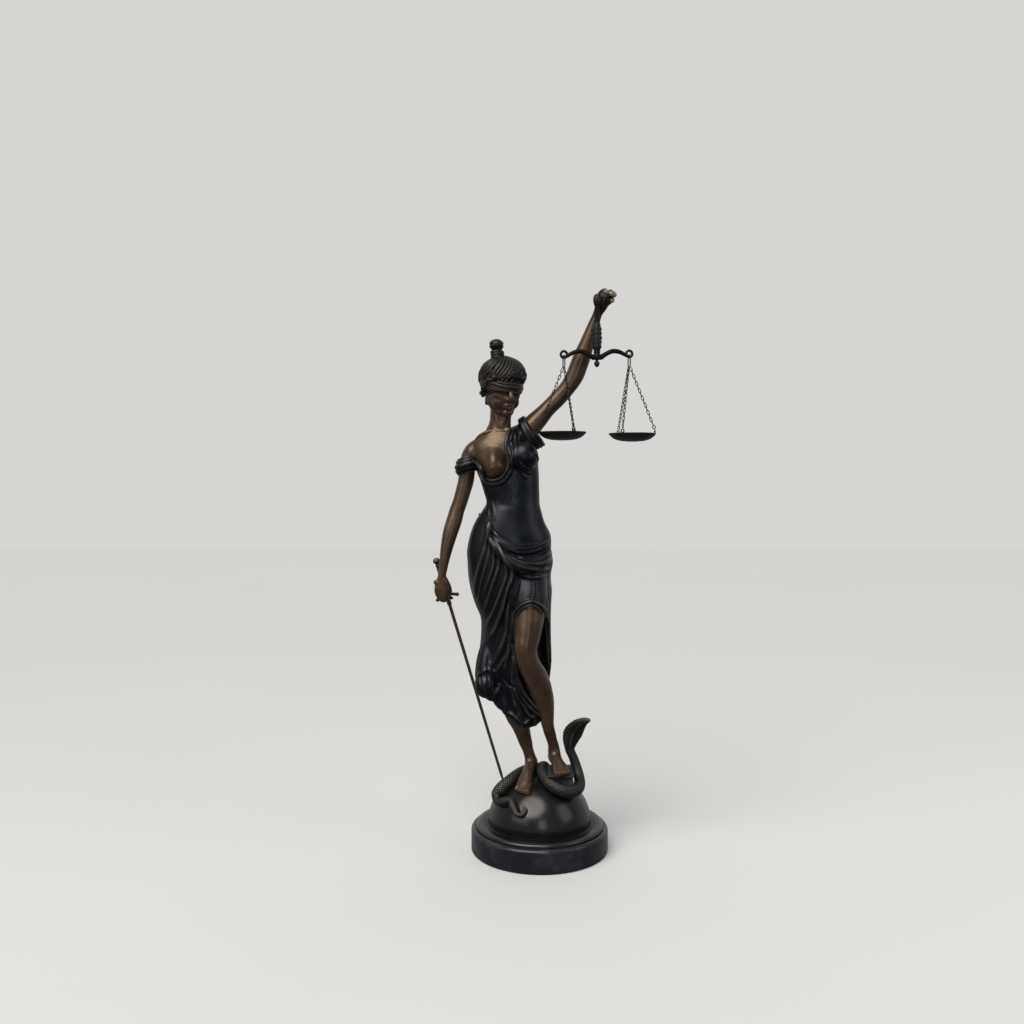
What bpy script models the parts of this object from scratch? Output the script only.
"""Lady justice statue: solids of the bronze figure, her sword and balance, the globe base and the marble plinth.

Built in metres, +Z up, the front towards -Y, the plinth's underside on Z = 0. Tables hold millimetres.
"""

import math

import bmesh
import bpy
import numpy as np
from mathutils import Matrix, Vector

MM = 0.001

# Driving sizes in millimetres
PLINTH_RADIUS = 112.0
PLINTH_HEIGHT = 36.0
PLINTH_RIM = 6.0
DISC_RADIUS = 104.0
DISC_TOP = 44.0
DOME_RADIUS = 84.0
DOME_APEX = 123.0
GAP = 0.3
BOOK_MIN = (12.0, -50.0, DOME_APEX - 7.0)
BOOK_MAX = (54.0, 12.0, DOME_APEX + 11.0)
SWORD_TOP = (-170.0, 4.0, 477.0)
SWORD_TIP = (-58.6, 8.0, 104.0)
HANDLE_X = 90.0
HANDLE_Y = -17.0
BEAM_DROP = 91.0
PAN_DROP = 122.0
PAN_RADIUS = 38.0
PAN_DEPTH = 13.0
PAN_WALL = 1.6
LUG_ANGLES_LEFT = (176.0, 56.0, -64.0)
LUG_ANGLES_RIGHT = (0.0, 122.0, -122.0)
HANGER_LENGTH = 22.0
HEAD_CENTRE = (-61.0, 1.0, 757.0)
HEAD_YAW = 25.0
HEAD_TILT = 12.0
CHAIN_LINKS = 9
FIGURE_SHARE = 0.0245

# Trunk rows: height, middle x, middle y, half width, half depth to the front, half depth to the back
TRUNK = (
    (686, -63, 5, 20, 18, 20),
    (681, -62, 4, 30, 23, 24),
    (674, -62, 4, 39, 26, 28),
    (661, -63, 4, 49, 31, 32),
    (645, -58, 4, 52, 34, 34),
    (628, -54, 3, 49, 34, 34),
    (604, -49, 2, 46, 32, 32),
    (585, -46, 1, 43, 30, 30),
    (568, -44, 0, 41, 29, 29),
    (555, -46, 0, 46, 32, 33),
    (536, -49, 1, 55, 37, 41),
    (515, -48, 2, 64, 42, 49),
    (490, -50, 3, 67, 46, 53),
    (471, -48, 3, 68, 48, 52),
    (449, -49, 3, 65, 49, 49),
    (425, -46, 3, 63, 49, 47),
    (400, -43, 3, 58, 46, 45),
    (376, -39, 3, 53, 43, 44),
    (351, -39, 3, 53, 41, 44),
    (326, -40, 3, 55, 40, 45),
    (301, -41, 3, 56, 40, 46),
    (277, -38, 3, 52, 39, 46),
    (244, -32, 3, 47, 37, 45),
    (219, -28, 3, 42, 35, 43),
    (202, -26, 3, 39, 34, 41),
)

# Limb rows: x, y, z, half width across, half depth
RIGHT_ARM = (
    (-90, 5, 659, 13, 15), (-102, 4, 656, 14, 16), (-112, 5, 645, 14.2, 15.5), (-117.5, 6, 627, 13.5, 14.5),
    (-120, 7, 604, 13, 14), (-125, 7, 585, 12.4, 13.5), (-130, 6, 568, 12, 13), (-135, 4, 554, 12.2, 13),
    (-139, 1, 539, 12.7, 13), (-145, -2, 520, 12.3, 12.5), (-150, -5, 499, 10.5, 11), (-154, -8, 478, 8.4, 9.5),
    (-157, -9, 459, 6.9, 7.6), (-159, -9, 447, 6.8, 7.2), (-159, -8, 436, 9.5, 7.5), (-158, -7, 424, 11, 8),
    (-156, -6, 413, 8.5, 7.5),
)
LEFT_ARM = (
    (-38, 6, 660, 17, 17), (-26, 6, 675, 17.5, 17), (-13, 8, 692, 17, 17), (0, 9, 706, 15, 15.5),
    (13, 9, 720, 13, 13.5), (28, 9, 735, 13.3, 13.5), (44, 8, 753, 13.1, 13.5), (56, 7, 772, 14.5, 14),
    (63, 6, 790, 14.5, 14), (69, 5, 806, 13.9, 13.5), (77, 4, 828, 11.6, 11.8), (85, 3, 851, 9.4, 9.6),
    (92, 1, 870, 7.6, 8), (96, -3, 880, 9, 8), (100, -6, 891, 11, 8.5), (103, -7, 900, 9.5, 8),
)

# The balance hangs from the raised hand, and the pans from the beam
HANDLE_TOP = LEFT_ARM[-1][2] - 7.0
BEAM_Z = HANDLE_TOP - BEAM_DROP
RING_LEFT = (36.5, -35.0, BEAM_Z)
RING_RIGHT = (143.5, -1.0, BEAM_Z + 5.0)
PAN_LEFT = (34.0, -36.0, BEAM_Z - PAN_DROP)
PAN_RIGHT = (149.0, -2.0, BEAM_Z - PAN_DROP - 1.0)

RIGHT_LEG = (
    (-83, 5, 465, 32, 36), (-75, 2, 408, 29, 32), (-65, 0, 343, 22.8, 25), (-60, 0, 302, 19.6, 21),
    (-52, 5, 260, 19.7, 21), (-41, 8, 222, 17.3, 18), (-31, 9, 199, 14.2, 15), (-24, 9, 176, 11.2, 12),
    (-18, 10, 156, 9.8, 10.5), (-14, 11, 142, 10.4, 12), (-12, 13, 131, 10.5, 13),
)
RIGHT_FOOT = (
    (-8, 30, 127, 7, 7), (-9, 24, 128, 9.5, 9.5), (-12, 13, 132, 10.5, 13), (-16, 0, 131, 10.5, 12.5),
    (-20, -13, 124.5, 11, 10), (-25, -27, 115.5, 12.8, 7.5), (-29, -38, 109, 12.5, 6), (-31, -46, 104, 11, 4.5),
)
LEFT_LEG = (
    (-19, -4, 466, 27, 34), (-20, -18, 427, 27.4, 32), (-18, -34, 389, 25.5, 28), (-20, -44, 358, 21.5, 25),
    (-22, -50, 336, 19.5, 21.5), (-15, -46, 313, 19.8, 20), (-4, -38, 286, 19.6, 19.5), (5, -27, 254, 16.9, 18),
    (10, -18, 227, 12.9, 14.5), (13, -12, 206, 9.9, 11), (18, -6, 186, 9.5, 10), (23, -2, 169, 10, 11),
    (24, 2, 157, 10.5, 13),
)
LEFT_FOOT = (
    (16, 28, 143, 7, 7.5), (18, 22, 144, 9.5, 10), (23, 8, 149, 10.5, 13), (26, -6, 149, 10.5, 13),
    (28.5, -19, 146, 11, 10.5), (32, -31, 142.5, 12.5, 8.2), (34, -41, 140.5, 12.2, 6.2), (35, -48, 139.4, 10.5, 4.6),
)
THIGH_CLOTH = (
    (-19, 0, 470, 31, 38), (-19, -14, 437, 31, 37), (-18, -27, 415, 30, 34), (-18, -33, 402, 28.5, 32),
)
NECK = ((-66, 6, 676, 30, 22), (-66, 5, 684, 22, 20), (-65, 4, 692, 18.5, 18.5), (-64, 3, 703, 17.2, 17.5),
        (-63, 3, 716, 17.5, 18), (-62, 4, 735, 18, 20))
# The snake's heights are counted from the dome's top
SNAKE_ROWS = (
    (-27, -67, -32.5, 2.6), (-24.5, -70, -37, 3.6), (-31, -73.5, -42.5, 4.4), (-38, -71.5, -41.5, 5.0),
    (-43, -64, -34, 5.6), (-47, -55, -28.5, 6.2), (-56, -48, -30, 6.8), (-64, -41, -34, 7), (-69, -32, -32, 7.4),
    (-68, -25, -24, 8), (-60, -21, -16.5, 9), (-47, -13, -8, 9.2), (-38, 2, -4, 9), (-26, 20, -2.5, 8.6),
    (-10, 35, -3, 8.4), (5, 33, -1, 8.4), (10, 22, 3, 8.4), (7, 10, 8, 8.6), (4, -4, 11, 8.8), (4, -17, 8, 9),
    (8, -30, 3, 9.2), (15, -43, -2, 9.4), (25, -52, -6.5, 9.5), (37, -55, -10.5, 9.6), (49, -51, -13, 9.6),
    (59, -40, -13, 9.4), (64, -26, -10, 9), (64, -12, -3, 8.6), (61, -3, 9, 8), (56, 1, 24, 7.4), (51, 2, 37, 6.8),
    (50.5, 2, 53, 6.4), (54.5, -1, 69, 6.2), (62, -6, 81, 6), (71, -10.5, 88.5, 5.6), (79, -14, 91, 3.8),
)
HOOD_ROWS = (
    (56, 1, 27, 7.4, 6), (50.8, 1, 55, 13, 4.8), (54.9, -1, 68, 15, 4.8), (63, -6, 80.5, 12, 4.8), (73, -11, 89, 6.5, 4.6),
)
SNAKE_TAIL = tuple((x, y, DOME_APEX + rise, size) for x, y, rise, size in SNAKE_ROWS)


def remove_everything() -> None:
    """Clears the startup scene."""
    for obj in list(bpy.data.objects):
        bpy.data.objects.remove(obj, do_unlink=True)


def new_collection(name: str, hidden: bool) -> bpy.types.Collection:
    """Adds a collection under the scene's own."""
    made = bpy.data.collections.new(name)
    bpy.context.scene.collection.children.link(made)
    made.hide_render = hidden
    return made


def add_material(name, colour, roughness, metallic):
    """A Principled material with one colour."""
    made = bpy.data.materials.new(name)
    made.use_nodes = True
    shader = made.node_tree.nodes["Principled BSDF"]
    shader.inputs["Base Color"].default_value = (*colour, 1.0)
    shader.inputs["Roughness"].default_value = roughness
    shader.inputs["Metallic"].default_value = metallic
    made.diffuse_color = (*colour, 1.0)
    return made


def link(obj, collection, hidden=False):
    """Puts an object in a collection, and marks a cutter."""
    for old in list(obj.users_collection):
        old.objects.unlink(obj)
    collection.objects.link(obj)
    if hidden:
        obj.hide_render = True
        obj.display_type = "WIRE"
    return obj


def add_lofts(name, parts, collection, hidden=False):
    """One object from closed lofts given as (points in millimetres, faces), and from meshes of round pieces."""
    shaped = bmesh.new()
    for part in parts:
        if isinstance(part, bpy.types.Mesh):
            shaped.from_mesh(part)
            bpy.data.meshes.remove(part)
            continue
        part_points, part_faces = part
        made = [shaped.verts.new([float(v) * MM for v in point]) for point in part_points]
        for face in part_faces:
            shaped.faces.new([made[i] for i in face])
    bmesh.ops.recalc_face_normals(shaped, faces=shaped.faces)
    mesh = bpy.data.meshes.new(name)
    shaped.to_mesh(mesh)
    shaped.free()
    mesh.shade_smooth()
    obj = bpy.data.objects.new(name, mesh)
    return link(obj, collection, hidden)


def turned(name, profile, steps, collection, centre=(0.0, 0.0, 0.0), hidden=False):
    """A turned shape: a Screw of the profile of radius and height, from the axis at the foot to the axis at the top."""
    points = [(radius * MM, 0.0, height * MM) for radius, height in reversed(profile)]
    mesh = bpy.data.meshes.new(name)
    mesh.from_pydata(points, [(i, i + 1) for i in range(len(points) - 1)], [])
    obj = link(bpy.data.objects.new(name, mesh), collection, hidden)
    obj.location = Vector(centre) * MM
    add_modifier(obj, "SCREW", axis="Z", steps=steps, render_steps=steps, use_merge_vertices=True,
                 merge_threshold=0.00001)
    return obj


def ring(name, centre, turn, ring_radius, wire, turns, sides, collection, hidden=True):
    """An upright ring whose hole looks along a turn about +Z."""
    bpy.ops.mesh.primitive_torus_add(major_segments=turns, minor_segments=sides, major_radius=ring_radius * MM,
                                     minor_radius=wire * MM, location=Vector(centre) * MM,
                                     rotation=(math.pi / 2, 0.0, turn + math.pi / 2))
    obj = bpy.context.active_object
    obj.name = name
    return link(obj, collection, hidden)


def cord_object(name, rows, collection, hidden=False, sides=1, cyclic=False):
    """A round bar: a curve through rows of x, y, z and radius."""
    curve = bpy.data.curves.new(name, "CURVE")
    curve.dimensions = "3D"
    curve.bevel_depth = MM
    curve.bevel_resolution = sides
    curve.use_fill_caps = True
    line = curve.splines.new("POLY")
    line.points.add(len(rows) - 1)
    for point, row in zip(line.points, rows):
        point.co = (row[0] * MM, row[1] * MM, row[2] * MM, 1.0)
        point.radius = row[3]
    line.use_cyclic_u = cyclic
    return link(bpy.data.objects.new(name, curve), collection, hidden)


def cord(rows, steps=3, sides=1, cyclic=False):
    """The mesh of a round bar through rows of x, y, z and radius."""
    filled = [tuple(row) for row in (rows if cyclic else smooth_rows(rows, steps))]
    if not cyclic:
        first = np.array(filled[0])
        last = np.array(filled[-1])
        out = (first - np.array(filled[1]))[:3]
        on = (last - np.array(filled[-2]))[:3]
        out *= first[3] * 0.6 / max(np.linalg.norm(out), 1e-6)
        on *= last[3] * 0.6 / max(np.linalg.norm(on), 1e-6)
        filled.insert(0, (*(first[:3] + out), first[3] * 0.55))
        filled.append((*(last[:3] + on), last[3] * 0.55))
    obj = cord_object("cord", filled, bpy.context.scene.collection, False, sides, cyclic)
    mesh = bpy.data.meshes.new_from_object(obj.evaluated_get(bpy.context.evaluated_depsgraph_get()))
    curve = obj.data
    bpy.data.objects.remove(obj, do_unlink=True)
    bpy.data.curves.remove(curve)
    shaped = bmesh.new()
    shaped.from_mesh(mesh)
    bmesh.ops.remove_doubles(shaped, verts=shaped.verts, dist=0.000001)
    shaped.to_mesh(mesh)
    shaped.free()
    return mesh


def ball(centre, radii, axes=None):
    """The mesh of an ellipsoid on the given axes."""
    turn = Matrix.Identity(3) if axes is None else Matrix([list(axis) for axis in axes]).transposed()
    place = Matrix.Translation(Vector(centre) * MM) @ turn.to_4x4() @ Matrix.Diagonal((*[r * MM for r in radii], 1.0))
    shaped = bmesh.new()
    bmesh.ops.create_uvsphere(shaped, u_segments=20, v_segments=12, radius=1.0, matrix=place)
    mesh = bpy.data.meshes.new("ball")
    shaped.to_mesh(mesh)
    shaped.free()
    return mesh


def block(name, low, high, grow, collection, bevel=0.0):
    """A box between two corners, as a helper."""
    bpy.ops.mesh.primitive_cube_add(size=1.0)
    obj = bpy.context.active_object
    obj.name = name
    size = [(b - a + 2 * grow) * MM for a, b in zip(low, high)]
    middle = [(a + b) / 2 * MM for a, b in zip(low, high)]
    obj.data.transform(Matrix.Diagonal((*size, 1.0)))
    obj.location = middle
    if bevel:
        add_modifier(obj, "BEVEL", width=bevel * MM, segments=1)
    return link(obj, collection, True)


def smooth_rows(rows, steps):
    """Rows of a table, filled in between with a Catmull-Rom curve."""
    rows = np.asarray(rows, float)
    count = len(rows)
    filled = []
    for i in range(count - 1):
        before = rows[max(i - 1, 0)]
        start = rows[i]
        end = rows[i + 1]
        after = rows[min(i + 2, count - 1)]
        for k in range(steps):
            t = k / steps
            filled.append(0.5 * (2 * start + (end - before) * t + (2 * before - 5 * start + 4 * end - after) * t * t
                                 + (3 * start - before - 3 * end + after) * t ** 3))
    filled.append(rows[-1])
    return np.array(filled)


def bridged(rings, cap_start=True, cap_end=True):
    """A closed surface over rings of equal count."""
    count = len(rings[0])
    points = [tuple(point) for ring in rings for point in ring]
    faces = []
    for i in range(len(rings) - 1):
        for k in range(count):
            n = (k + 1) % count
            faces.append((i * count + k, i * count + n, (i + 1) * count + n, (i + 1) * count + k))
    if cap_start:
        faces.append(tuple(range(count)))
    if cap_end:
        faces.append(tuple(range((len(rings) - 1) * count, len(rings) * count)))
    return points, faces


def tube(rows, sides=14, steps=3, across=(0.0, 1.0, 0.0), grow=0.0, round_ends=True):
    """A limb: rows of x, y, z, half width and half depth (or one radius) along its middle line."""
    rows = np.asarray(rows, float)
    if rows.shape[1] == 4:
        rows = np.hstack([rows, rows[:, 3:4]])
    rows = smooth_rows(rows, steps)
    middle = rows[:, :3]
    half = rows[:, 3:5] + grow
    run = np.gradient(middle, axis=0)
    run /= np.linalg.norm(run, axis=1)[:, None]
    depth = np.array(across, float)
    rings = []
    turns = np.linspace(0, 2 * math.pi, sides, endpoint=False)
    centres = list(zip(middle, run, half))
    if round_ends:
        ends = []
        for share, out in ((0.35, 0.9), (0.8, 0.55)):
            ends.append((share, out))
        first = centres[0]
        last = centres[-1]
        start = [(first[0] - first[1] * min(first[2]) * out, first[1], first[2] * share) for share, out in ends]
        finish = [(last[0] + last[1] * min(last[2]) * out, last[1], last[2] * share) for share, out in reversed(ends)]
        centres = start + centres + finish
    for centre, along, (wide, deep) in centres:
        depth = depth - along * depth.dot(along)
        depth /= np.linalg.norm(depth)
        side = np.cross(along, depth)
        ring = [centre + side * math.cos(t) * wide + depth * math.sin(t) * deep for t in turns]
        rings.append(ring)
    return bridged(rings)


def dome_profile(grow=0.0):
    """Radius and height of the dome's outside, from its foot to its top."""
    rows = []
    for i in range(9):
        turn = math.radians(90 * i / 8)
        rows.append(((DOME_RADIUS + grow) * math.cos(turn), DISC_TOP + 1 + (DOME_APEX - DISC_TOP - 1 + grow) * math.sin(turn)))
    rows[-1] = (0.0, rows[-1][1])
    return rows


def add_modifier(obj, kind, **settings):
    """Adds a modifier with its settings."""
    made = obj.modifiers.new(kind.title(), kind)
    for key, value in settings.items():
        setattr(made, key, value)
    return made


def cut(obj, cutter, operation="DIFFERENCE"):
    """Cuts one object by another, or joins them."""
    add_modifier(obj, "BOOLEAN", object=cutter, operation=operation, solver="EXACT")


def fold(turn, height, count, lean, sharp):
    """A row of soft cloth ridges round a body, from -1 in a valley to 1 on a ridge."""
    wave = math.sin(turn * count + height * lean)
    return math.copysign(abs(wave) ** sharp, wave)


def trunk_rings(sides=72):
    """Rings of the trunk and the skirt, with the cloth's folds, from the neck down and back up inside the hem."""
    rows = smooth_rows(TRUNK, 4)
    rings = []
    for height, mx, my, half, front, back in rows:
        ring = []
        for k in range(sides):
            turn = 2 * math.pi * k / sides
            c = math.cos(turn)
            s = math.sin(turn)
            x = half * c
            y = (back if s > 0 else front) * s
            push = trunk_relief(mx + x, s, turn, height)
            size = math.hypot(x, y)
            x *= 1 + push / size
            y *= 1 + push / size
            ring.append((mx + x, my + y, hem_height(mx + x, s, height)))
        rings.append(ring)
    last = rings[-1]
    middle = np.mean(np.array(last), axis=0)
    for share, rise in ((0.84, 0.5), (0.78, 26.0), (0.3, 30.0)):
        rings.append([(middle[0] + (p[0] - middle[0]) * share, middle[1] + (p[1] - middle[1]) * share, p[2] + rise)
                      for p in last])
    return rings


def hem_height(x, s, height):
    """The row's height after the hem's slant: high at the left of the front, lowest in the middle."""
    if height > 320:
        return height
    hem = 206 + 44 * min(max((-34 - x) / 42, 0), 1) ** 0.9 + 10 * min(max((x + 14) / 20, 0), 1)
    if s > 0.2:
        hem = hem + (222 - hem) * min((s - 0.2) / 0.4, 1)
    return hem + (height - 202) * (320 - hem) / (320 - 202)


def trunk_relief(x, s, turn, height):
    """How far the cloth stands out from the body at a turn and a height."""
    deep = 0.0
    if height < 470:
        grown = min((470 - height) / 120, 1)
        if s > 0:
            deep += 3.6 * grown * fold(turn, height, 13, 0.004, 0.8)
        elif x < -30:
            deep += 3.4 * grown * fold(turn, height, 15, 0.02, 0.8)
        else:
            deep += 1.6 * grown * fold(turn, height, 11, -0.03, 0.9)
    elif height < 560:
        deep += 1.4 * fold(turn, height, 6, 0.11, 1.0)
    elif height < 650 and s < 0:
        deep += 0.9 * fold(turn, height, 7, -0.05, 1.0)
    elif height < 640:
        deep += 1.0 * fold(turn, height, 9, 0.02, 1.0)
    return deep


def head_axes():
    """Side, forward and up of the head."""
    yaw = math.radians(HEAD_YAW)
    tilt = math.radians(HEAD_TILT)
    forward = Vector((math.sin(yaw) * math.cos(tilt), -math.cos(yaw) * math.cos(tilt), -math.sin(tilt)))
    side = Vector((math.cos(yaw), math.sin(yaw), 0.0))
    up = side.cross(forward) * -1
    if up.z < 0:
        up = -up
    return side, forward, up


def at_head(side_mm, forward_mm, up_mm):
    """A point given in the head's own axes."""
    side, forward, up = head_axes()
    return Vector(HEAD_CENTRE) + side * side_mm + forward * forward_mm + up * up_mm


def head_parts():
    """Skull, face, hair cap with locks, bun, blindfold and its knot."""
    side, forward, up = head_axes()
    axes = np.array([side, forward, up])
    parts = [
        ball(at_head(0, -3, 6), (32, 38, 40), axes),
        ball(at_head(0, 6, -18), (25.5, 29, 31), axes),
        ball(at_head(0, 22, -40), (9.5, 10, 8.5), axes),
        ball(at_head(0, 30, -29.5), (8, 6.5, 4.2), axes),
        ball(at_head(0, -7, 10), (36, 40, 37), axes),
    ]
    nose = [(*at_head(0, 33, 4), 3.5), (*at_head(0, 36.5, -7), 4), (*at_head(0, 39, -15), 4.8), (*at_head(0, 34, -19), 4.5)]
    parts.append(cord(nose, 2))
    for ear in (-1, 1):
        lock = [(*at_head(ear * 28, 14, 12), 4.5), (*at_head(ear * 31, 2, -4), 5), (*at_head(ear * 28, -13, -15), 6),
                (*at_head(ear * 18, -26, -20), 7), (*at_head(0, -33, -22), 7)]
        parts.append(cord(lock, 3))
    for i in range(11):
        start = math.radians(-100 + i * 20)
        lock = []
        for k in range(6):
            rise = math.radians(14 + k * 13)
            turn = start + math.radians(9 * k)
            lock.append((*at_head(36.0 * math.cos(rise) * math.sin(turn), -7 + 40.5 * math.cos(rise) * math.cos(turn),
                                  10 + 36.5 * math.sin(rise)), 3.6 - 0.25 * k))
        parts.append(cord(lock, 2))
    bun = Vector((-69.5, 10.0, 820.0))
    parts.append(ball(bun, (12, 12, 12)))
    parts.append(cord([(*at_head(0, -10, 46), 14), (-68, 9, 806, 9.5), (-69, 10, 814, 9.5)], 3, 3))
    band = []
    for i in range(3):
        ring = []
        for k in range(24):
            turn = 2 * math.pi * k / 24
            lift = 1 + (i - 1) * 5.2 - 3.0 * math.sin(turn)
            ring.append((*at_head(34.6 * math.cos(turn), -2 + 39.5 * math.sin(turn), lift), 3.1))
        band.append(cord(ring, 1, 1, True))
    parts.extend(band)
    parts.append(ball(at_head(3, -44, 4), (9, 5, 8), axes))
    parts.append(tube([(*at_head(3, -45, 2), 5, 2.5), (*at_head(6, -47, -16), 5, 2.2), (*at_head(5, -41, -34), 6, 2)], 8, 3))
    return parts


def sword_point(z):
    """The point on the sword's middle line at a height."""
    share = (SWORD_TOP[2] - z) / (SWORD_TOP[2] - SWORD_TIP[2])
    return Vector(SWORD_TOP).lerp(Vector(SWORD_TIP), share)


def hand_parts():
    """Fingers of both hands."""
    parts = []
    for i in range(4):
        grip = sword_point(441 - i * 8.0)
        size = (3.9, 4.2, 4.0, 3.4)[i]
        knuckle = Vector((-167.5 + i * 1.6, -10.0, 439 - i * 8.2))
        parts.append(cord([(*knuckle, size), (grip.x - 9.5, -1.5, knuckle.z - 1, size), (grip.x - 6, 9.5, knuckle.z - 2, size),
                           (grip.x + 4, 10.5, knuckle.z - 2.5, size * 0.95), (grip.x + 8.5, 4, knuckle.z - 3, size * 0.85)], 3))
    parts.append(cord([(-154, -11, 443, 5), (-147.5, -8, 432, 4.8), (-147, -2, 422, 4.3), (-149, 2, 414, 3.5)], 3))
    for i in range(3):
        low = 884.5 + i * 7.4
        size = (3.6, 3.9, 4.0)[i]
        parts.append(cord([(104 + i * 1.2, -3, low + 3, size), (106 + i, -12, low + 1, size), (99, -19, low - 1, size),
                           (91.5, -20.5, low - 2, size * 0.9)], 3))
    parts.append(cord([(103, -3, 903, 4), (110, -9, 909, 3.8), (114, -14, 908.5, 3.4), (117.5, -18, 905, 2.9)], 3))
    parts.append(cord([(92, -3, 884, 5), (89, -9.5, 894, 4.5), (91.5, -14, 902, 4), (96, -16, 907, 3.4)], 3))
    return parts


def toe_parts():
    """Toes of both feet."""
    parts = []
    for i in range(5):
        out = -10 + i * 5
        size = (5.2, 3.8, 3.6, 3.4, 3.2)[i]
        reach = (0, 0.5, -1.5, -4, -7)[i]
        parts.append(cord([(-28.5 - out * 0.95, -42 + out * 0.25, 108, size),
                           (-31.5 - out * 0.95, -52 - reach + out * 0.25, 102.5, size * 0.9)], 2))
    for i in range(5):
        out = -10 + i * 5
        size = (5.2, 3.8, 3.6, 3.4, 3.2)[i]
        reach = (0, 0.5, -1.5, -4, -7)[i]
        parts.append(cord([(34.5 + out * 0.95, -44, 140, size), (35.5 + out * 0.95, -53 - reach, 139, size * 0.92)], 2))
    return parts


def drape_parts():
    """Rolled edges and swags of the cloth that lie on the body."""
    neckline = (
        (-104, -18, 640, 3.4), (-96, -31, 628, 3.8), (-88, -41, 613, 4.2), (-77, -47, 605, 4.4), (-64, -47, 604, 4.4),
        (-54, -43, 612, 4.2), (-47, -38, 628, 4.2), (-43, -34, 648, 4.2), (-38, -27, 668, 4.4), (-31, -16, 683, 4.8),
        (-27, -3, 692, 5.0), (-29, 12, 690, 4.8), (-38, 26, 674, 4.2), (-58, 37, 656, 3.8), (-80, 38, 648, 3.8),
        (-100, 27, 645, 3.4), (-108, 8, 645, 3.2),
    )
    upper_swag = (
        (-84, -35, 541, 3), (-66, -40, 523, 4.5), (-44, -45, 509, 5), (-20, -43, 503, 5), (2, -34, 511, 4.6),
        (13, -17, 521, 4), (13, 4, 529, 4), (2, 28, 534, 4), (-22, 43, 536, 4), (-60, 44, 536, 4), (-90, 28, 538, 4),
    )
    lower_swag = (
        (-82, -38, 515, 5), (-66, -48, 492, 7.5), (-46, -54, 474, 9), (-22, -54, 466, 9), (0, -44, 470, 8.5),
        (11, -26, 478, 7), (15, -2, 486, 6.5), (9, 26, 494, 6), (-16, 48, 496, 6), (-50, 54, 494, 6),
        (-86, 43, 494, 5.5), (-106, 20, 500, 4.5),
    )
    parts = [cord(neckline), cord(upper_swag), cord(lower_swag, 3, 2)]
    for i in range(4):
        lift = i * 6.5
        parts.append(cord([(-80 + i, -40, 528 + lift * 0.6, 3.4), (-60, -49, 503 + lift, 4.2), (-34, -52, 489 + lift, 4.4),
                           (-6, -43, 486 + lift, 4), (9, -28, 491 + lift, 3.4)]))
    for i in range(5):
        shift = i * 6.0
        parts.append(cord([(-82 + shift * 0.6, -41, 512 - i * 3, 3.6), (-93 + shift, -44 - i * 0.8, 468, 3.6),
                           (-92 + shift, -42 - i * 0.5, 420, 3.4), (-86 + shift * 1.1, -37 - i * 0.8, 372, 3),
                           (-76 + shift * 0.9, -32 - i, 330, 2.2)]))
    parts.append(ball((-79, -38, 520), (11, 9, 17)))
    parts.append(ball((-90, -18, 291), (15, 20, 42)))
    parts.append(ball((-78, -28, 270), (13, 14, 22)))
    arch = (
        (-44, -34, 330, 3), (-45, -46, 356, 3.4), (-43, -58, 382, 3.8), (-36, -66, 397, 4), (-22, -69, 404, 4),
        (-4, -66, 400, 4), (6, -56, 386, 3.8), (9, -42, 366, 3.4), (12, -26, 338, 3.2), (14, -14, 306, 3),
    )
    parts.append(cord(arch))
    slit = ((-44, -36, 330, 3), (-41, -40, 306, 3.2), (-30, -42, 280, 3.2), (-14, -38, 252, 3), (2, -24, 228, 2.6))
    parts.append(cord(slit))
    return parts


def band_parts():
    """Bands of the dress round both upper arms, and its folds over the left breast."""
    parts = []
    for i in range(3):
        z = 636 - i * 7.0
        ring = []
        for k in range(16):
            turn = 2 * math.pi * k / 16
            ring.append((-117.5 + 17.5 * math.cos(turn), 5 + 18 * math.sin(turn), z + 4 * math.cos(turn), 3.6))
        parts.append(cord(ring, 1, 1, True))
    for i in range(4):
        centre = Vector((-18 + i * 7.5, 7.5, 686 - i * 1.0 + i * 5))
        along = Vector((0.66, 0.05, 0.75)).normalized()
        side = Vector((0, 1, 0)).cross(along).normalized()
        ring = []
        for k in range(16):
            turn = 2 * math.pi * k / 16
            point = centre + side * 19.5 * math.cos(turn) + Vector((0, 1, 0)) * 18.5 * math.sin(turn)
            ring.append((*point, 3.6))
        parts.append(cord(ring, 1, 1, True))
    for i in range(3):
        parts.append(cord([(-46 + i * 2, -40 - i, 620 + i * 13, 3), (-30, -47 - i * 0.5, 616 + i * 12, 3.2),
                           (-12, -40, 626 + i * 11, 3), (-5, -22, 640 + i * 9, 2.6)]))
    return parts


def build_figure(collection, cutters):
    """The one bronze casting of the woman, cut clear of what she stands on and holds."""
    parts = [bridged(trunk_rings())]
    for rows in (RIGHT_ARM, LEFT_ARM, RIGHT_LEG, LEFT_LEG, THIGH_CLOTH, NECK):
        parts.append(tube(rows, 18, 3))
    for rows in (RIGHT_FOOT, LEFT_FOOT):
        parts.append(tube(rows, 16, 3, (0, 0, 1)))
    parts.append(ball((-77, -25, 629), (21, 21, 21)))
    parts.append(ball((-76.5, -45, 628), (3, 3.5, 3)))
    parts.append(ball((-27, -25, 642), (23, 23, 23)))
    parts.append(ball((-80, 28, 482), (30, 32, 30)))
    parts.append(ball((-20, 28, 482), (30, 32, 30)))
    parts.extend(head_parts())
    parts.extend(hand_parts())
    parts.extend(toe_parts())
    parts.extend(drape_parts())
    parts.extend(band_parts())
    figure = add_lofts("figure", parts, collection)
    add_modifier(figure, "REMESH", mode="VOXEL", voxel_size=2.1 * MM, adaptivity=0.0)
    add_modifier(figure, "SMOOTH", factor=0.5, iterations=2)
    add_modifier(figure, "DECIMATE", ratio=FIGURE_SHARE)
    for cutter in cutters:
        cut(figure, cutter)
    return figure


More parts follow.
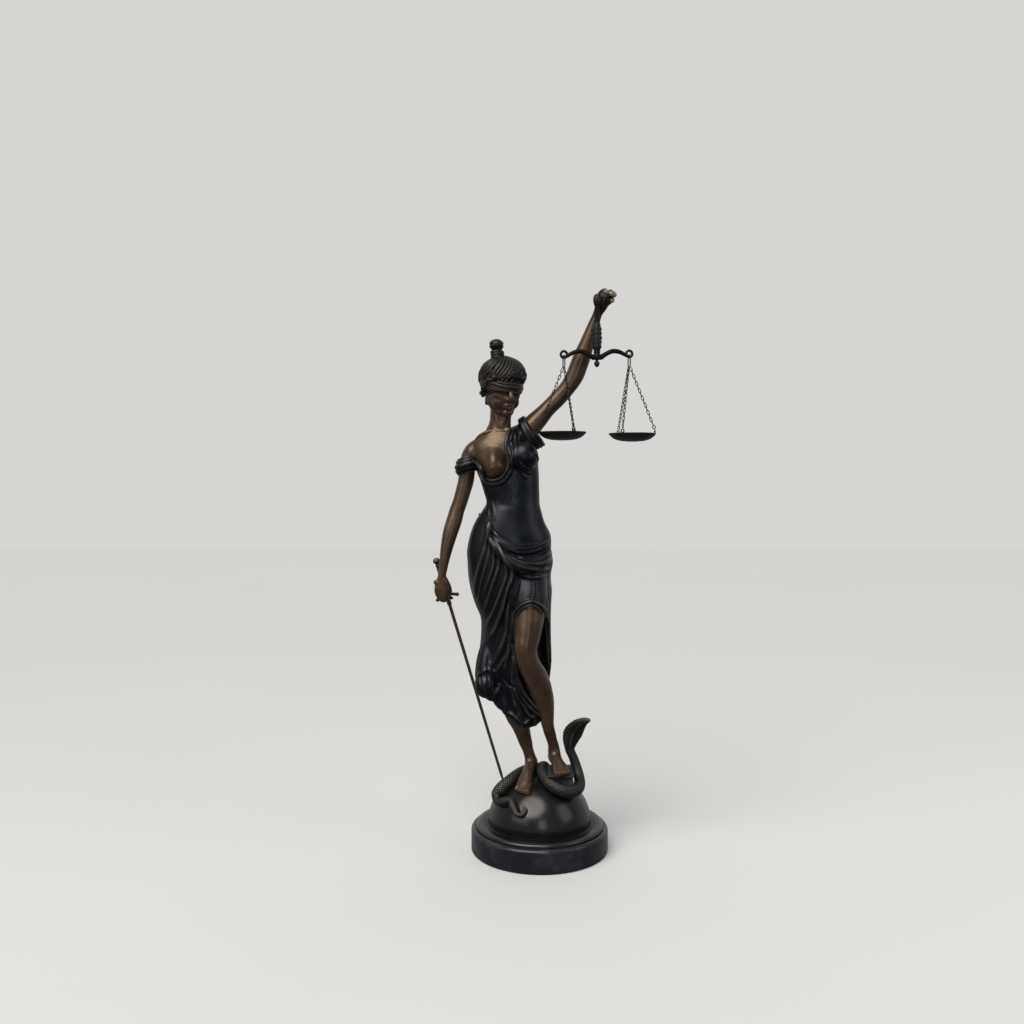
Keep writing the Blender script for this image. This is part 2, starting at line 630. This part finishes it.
def build_globe_base(collection, helpers):
    """Disc, dome, book and snake as one casting."""
    foot = PLINTH_HEIGHT + GAP
    profile = [(0.0, foot), (DISC_RADIUS - 1.0, foot), (DISC_RADIUS, foot + 1.0), (DISC_RADIUS, DISC_TOP - 3.0),
               (DISC_RADIUS - 2.0, DISC_TOP - 0.6), (DISC_RADIUS - 8.0, DISC_TOP), (DOME_RADIUS + 3.5, DISC_TOP),
               (DOME_RADIUS + 1.0, DISC_TOP + 0.9)]
    profile.extend(dome_profile())
    base = turned("globe_base", profile, 34, collection)
    book = block("book_block", BOOK_MIN, BOOK_MAX, 0.0, helpers, 1.0)
    snake = add_lofts("snake_body", [cord(SNAKE_TAIL, 1)], helpers, True)
    hood_rows = [(x, y, DOME_APEX + rise, wide, deep) for x, y, rise, wide, deep in HOOD_ROWS]
    hood = add_lofts("snake_hood", [tube(hood_rows, 10, 2)], helpers, True)
    for piece in (book, snake, hood):
        cut(base, piece, "UNION")
    return base


def build_plinth(collection):
    """The round marble plinth."""
    rim = PLINTH_RIM
    top = PLINTH_HEIGHT + 2.0
    profile = [(0.0, 0.0), (PLINTH_RADIUS - 1.0, 0.0), (PLINTH_RADIUS, 1.0), (PLINTH_RADIUS, top - rim)]
    for i in range(1, 4):
        turn = math.radians(90 * i / 4)
        profile.append((PLINTH_RADIUS - rim * (1 - math.cos(turn)), top - rim + rim * math.sin(turn)))
    profile.append((PLINTH_RADIUS - rim, top))
    profile.append((DISC_RADIUS + 0.8, PLINTH_HEIGHT))
    profile.append((0.0, PLINTH_HEIGHT))
    return turned("marble_plinth", profile, 48, collection)


def sword_axes():
    """Along, across and through the sword."""
    along = (Vector(SWORD_TIP) - Vector(SWORD_TOP)).normalized()
    through = Vector((0.0, 1.0, 0.0))
    across = through.cross(along).normalized()
    return along, across, along.cross(across)


def sword_loft(rows, sides=8):
    """Sections along the sword from rows of distance from the top, half width and half depth."""
    along, across, through = sword_axes()
    rings = []
    for distance, wide, deep in rows:
        centre = Vector(SWORD_TOP) + along * distance
        rings.append([centre + across * wide * math.cos(t) + through * deep * math.sin(t)
                      for t in (2 * math.pi * k / sides for k in range(sides))])
    return bridged(rings)


def guard_rows(grow=0.0):
    """Middle line of the sword's guard, its ends curled towards the point."""
    along, across, _ = sword_axes()
    centre = Vector(SWORD_TOP) + along * 63.5
    rows = []
    for k in range(9):
        share = -1 + k / 4
        bend = 4.2 * (abs(share) ** 3)
        point = centre + across * share * 17.5 + along * bend
        rows.append((*point, 2.4 + 0.6 * abs(share) + grow))
    return rows


def build_sword(collection, helpers):
    """Pommel, grip, guard with curled ends and blade, in one forging."""
    length = (Vector(SWORD_TIP) - Vector(SWORD_TOP)).length
    rows = [(0, 1.5, 1.5), (1.2, 4.2, 4.2), (4.5, 6, 6), (8.5, 5, 5), (11, 3, 3), (13, 4.2, 4.2), (15.5, 3.4, 3.4),
            (38, 3.6, 3.6), (60, 3.3, 3.3), (62, 4.6, 4.6), (65, 4.8, 4.8), (66.5, 3.6, 2.4), (80, 3.6, 2.2), (84, 2.8, 1.5),
            (length - 16, 2.4, 1.2), (length, 0.5, 0.4)]
    sword = add_lofts("sword", [sword_loft(rows)], collection)
    guard = add_lofts("sword_guard", [cord(guard_rows(), 1)], helpers, True)
    cut(sword, guard, "UNION")
    return sword


def sword_clearances(helpers):
    """What the hand is cut by: the sword's upper part and its guard, a little larger."""
    length = (Vector(SWORD_TIP) - Vector(SWORD_TOP)).length
    rows = [(-2, 5, 5), (4.5, 7, 7), (9, 6, 6), (12, 5.2, 5.2), (18, 4.1, 4.1), (38, 4.1, 4.1), (58, 4.0, 4.0), (61, 6, 6),
            (67, 6, 6), (69, 4.6, 3.4), (length + 1, 3.6, 2.6)]
    return [
        add_lofts("sword_clearance", [sword_loft(rows)], helpers, True),
        add_lofts("guard_clearance", [cord(guard_rows(0.6), 1)], helpers, True),
    ]


def build_beam(collection, helpers):
    """Turned handle, finial, both arms and the end rings."""
    upper = [(0, 0), (3.6, -1.6), (4.4, -7), (3.2, -11.5)]
    lower = [(4.4, 60), (4.0, 56.5), (6.2, 46), (7.2, 27), (6.2, 12), (5.0, 4), (5.6, 0), (4.4, -5), (2.2, -7.5), (4.6, -12.5),
             (2.6, -17), (0, -18)]
    rows = [(radius, HANDLE_TOP + rise) for radius, rise in upper] + [(radius, BEAM_Z + rise) for radius, rise in lower]
    profile = list(reversed(rows))
    beam = turned("scale_beam", profile, 11, collection, (HANDLE_X, HANDLE_Y, 0))
    middle = Vector((HANDLE_X, HANDLE_Y, BEAM_Z - 0.5))
    for tag, place in (("left", RING_LEFT), ("right", RING_RIGHT)):
        run = Vector(place) - middle
        rows = []
        for share, lift, size in ((0.02, 0, 3.8), (0.12, -2, 3.6), (0.26, 2, 3.2), (0.45, 6, 3.4), (0.62, 5.5, 3.1), (0.78, 2.5, 2.8),
                                  (0.9, 0.8, 2.7)):
            point = middle + run * share + Vector((0, 0, lift))
            rows.append((*point, size))
        arm = add_lofts(f"beam_arm_{tag}", [cord(rows, 1)], helpers, True)
        loop = ring(f"beam_ring_{tag}", place, beam_turn() + math.pi / 2, 5.2, 2.2, 9, 5, helpers)
        cut(beam, arm, "UNION")
        cut(beam, loop, "UNION")
    return beam


def beam_turn():
    """The beam's turn about +Z."""
    return math.atan2(RING_RIGHT[1] - RING_LEFT[1], RING_RIGHT[0] - RING_LEFT[0])


def handle_clearance(helpers):
    """What the raised hand is cut by: the top of the handle, a little larger."""
    upper = [(0, 2), (3.8, 1), (5.2, -2), (5.2, -8)]
    lower = [(4.6, 70), (5.2, 60), (7.0, 49), (8.0, 27), (7.6, 10), (0, 9)]
    rows = [(radius, HANDLE_TOP + rise) for radius, rise in upper] + [(radius, BEAM_Z + rise) for radius, rise in lower]
    profile = list(reversed(rows))
    return turned("handle_clearance", profile, 12, helpers, (HANDLE_X, HANDLE_Y, 0), True)


def lug_points(centre, angles):
    """Middle of each lug of a pan."""
    reach = PAN_RADIUS - 1.2
    return [Vector((centre[0] + reach * math.cos(math.radians(a)), centre[1] + reach * math.sin(math.radians(a)), centre[2] + 3.4))
            for a in angles]


def build_pan(name, centre, angles, collection, helpers):
    """A shallow dish with a rolled rim and three lugs."""
    r = PAN_RADIUS
    d = PAN_DEPTH
    w = PAN_WALL
    profile = [(0, -d), (r * 0.45, -d + 0.9), (r * 0.75, -d + 4.0), (r - 2.0, -3.0), (r, -1.6), (r, 0.8), (r - 2.6, 0.8),
               (r * 0.75 - w * 0.5, -d + 4.0 + w), (r * 0.45, -d + 0.9 + w), (0, -d + w)]
    pan = turned(name, profile, 24, collection, centre)
    for i, point in enumerate(lug_points(centre, angles)):
        lug = ring(f"{name}_lug_{i + 1}", point, math.radians(angles[i]), 2.5, 1.1, 7, 4, helpers)
        cut(pan, lug, "UNION")
    return pan


def build_chain(name, start, end, links, collection, turn):
    """A chain as one body: flat links, each turned a quarter round from the last."""
    start = Vector(start)
    end = Vector(end)
    along = (end - start).normalized()
    side = along.cross(Vector((math.cos(turn), math.sin(turn), 0.0))).normalized()
    other = along.cross(side)
    rings = []
    for i in range(links * 2 + 1):
        centre = start.lerp(end, i / (links * 2))
        if i in (0, links * 2):
            wide, deep = 0.8, 0.8
        elif i % 2 == 0:
            wide, deep = 1.1, 1.1
        elif i % 4 == 1:
            wide, deep = 2.4, 1.0
        else:
            wide, deep = 1.0, 2.4
        rings.append([centre + side * wide + other * deep, centre - side * wide + other * deep,
                      centre - side * wide - other * deep, centre + side * wide - other * deep])
    return add_lofts(name, [bridged(rings)], collection)


def build_hanger(name, place, collection):
    """The long link that hangs in an end ring, its lower bow below it."""
    half = 4.2
    straight = HANGER_LENGTH / 2 - 1.0 - half
    middle = Vector(place) + Vector((0, 0, -0.3 - HANGER_LENGTH / 2))
    across = Vector((-math.sin(beam_turn()), math.cos(beam_turn()), 0))
    rows = []
    for side, first in ((1, 0.0), (-1, math.pi)):
        for k in range(6):
            a = first + math.pi * k / 5
            point = middle + across * half * math.cos(a) + Vector((0, 0, half * math.sin(a) + side * straight))
            rows.append((*point, 1.0))
    return cord_object(name, rows, collection, False, 1, True)


def main() -> None:
    """Builds every node."""
    remove_everything()
    bpy.context.scene.unit_settings.system = "METRIC"
    bpy.context.scene.unit_settings.scale_length = 1.0
    statue = new_collection("lady_justice_statue", False)
    helpers = new_collection("cutters", True)
    bronze = add_material("bronze", (0.13, 0.09, 0.06), 0.34, 1.0)
    bronze_base = add_material("bronze_base", (0.09, 0.075, 0.065), 0.36, 1.0)
    aged_brass = add_material("aged_brass", (0.2, 0.16, 0.09), 0.45, 1.0)
    dark_iron = add_material("dark_iron", (0.07, 0.065, 0.06), 0.42, 1.0)
    marble = add_material("marble", (0.02, 0.02, 0.024), 0.12, 0.0)
    dome = [(0.0, DISC_TOP - 10), (DOME_RADIUS + 6, DISC_TOP - 10)] + dome_profile(GAP + 0.1)
    cutters = [
        turned("dome_clearance", dome, 36, helpers, (0.0, 0.0, 0.0), True),
        block("book_clearance", BOOK_MIN, BOOK_MAX, 0.4, helpers),
        add_lofts("snake_clearance", [cord([(*row[:3], row[3] + 0.6) for row in SNAKE_TAIL], 1)], helpers, True),
        *sword_clearances(helpers),
        handle_clearance(helpers),
    ]
    finished = [
        (build_plinth(statue), marble),
        (build_globe_base(statue, helpers), bronze_base),
        (build_figure(statue, cutters), bronze),
        (build_sword(statue, helpers), aged_brass),
        (build_beam(statue, helpers), dark_iron),
    ]
    sets = (
        ("left", RING_LEFT, PAN_LEFT, LUG_ANGLES_LEFT),
        ("right", RING_RIGHT, PAN_RIGHT, LUG_ANGLES_RIGHT),
    )
    for tag, place, pan, angles in sets:
        finished.append((build_pan(f"scale_pan_{tag}", pan, angles, statue, helpers), dark_iron))
        finished.append((build_hanger(f"hanger_{tag}", place, statue), dark_iron))
        low = Vector(place) + Vector((0, 0, -0.3 - HANGER_LENGTH - 1.2))
        for i, point in enumerate(lug_points(pan, angles)):
            turn = math.radians(angles[i])
            start = low + Vector((math.cos(turn), math.sin(turn), 0)) * 2.4
            end = point + Vector((0, 0, 4.6))
            finished.append((build_chain(f"chain_{tag}_{i + 1}", start, end, CHAIN_LINKS, statue, turn), dark_iron))
    root = bpy.data.objects.new("statue_root", None)
    statue.objects.link(root)
    for obj, material in finished:
        obj.data.materials.append(material)
        obj.parent = root


main()
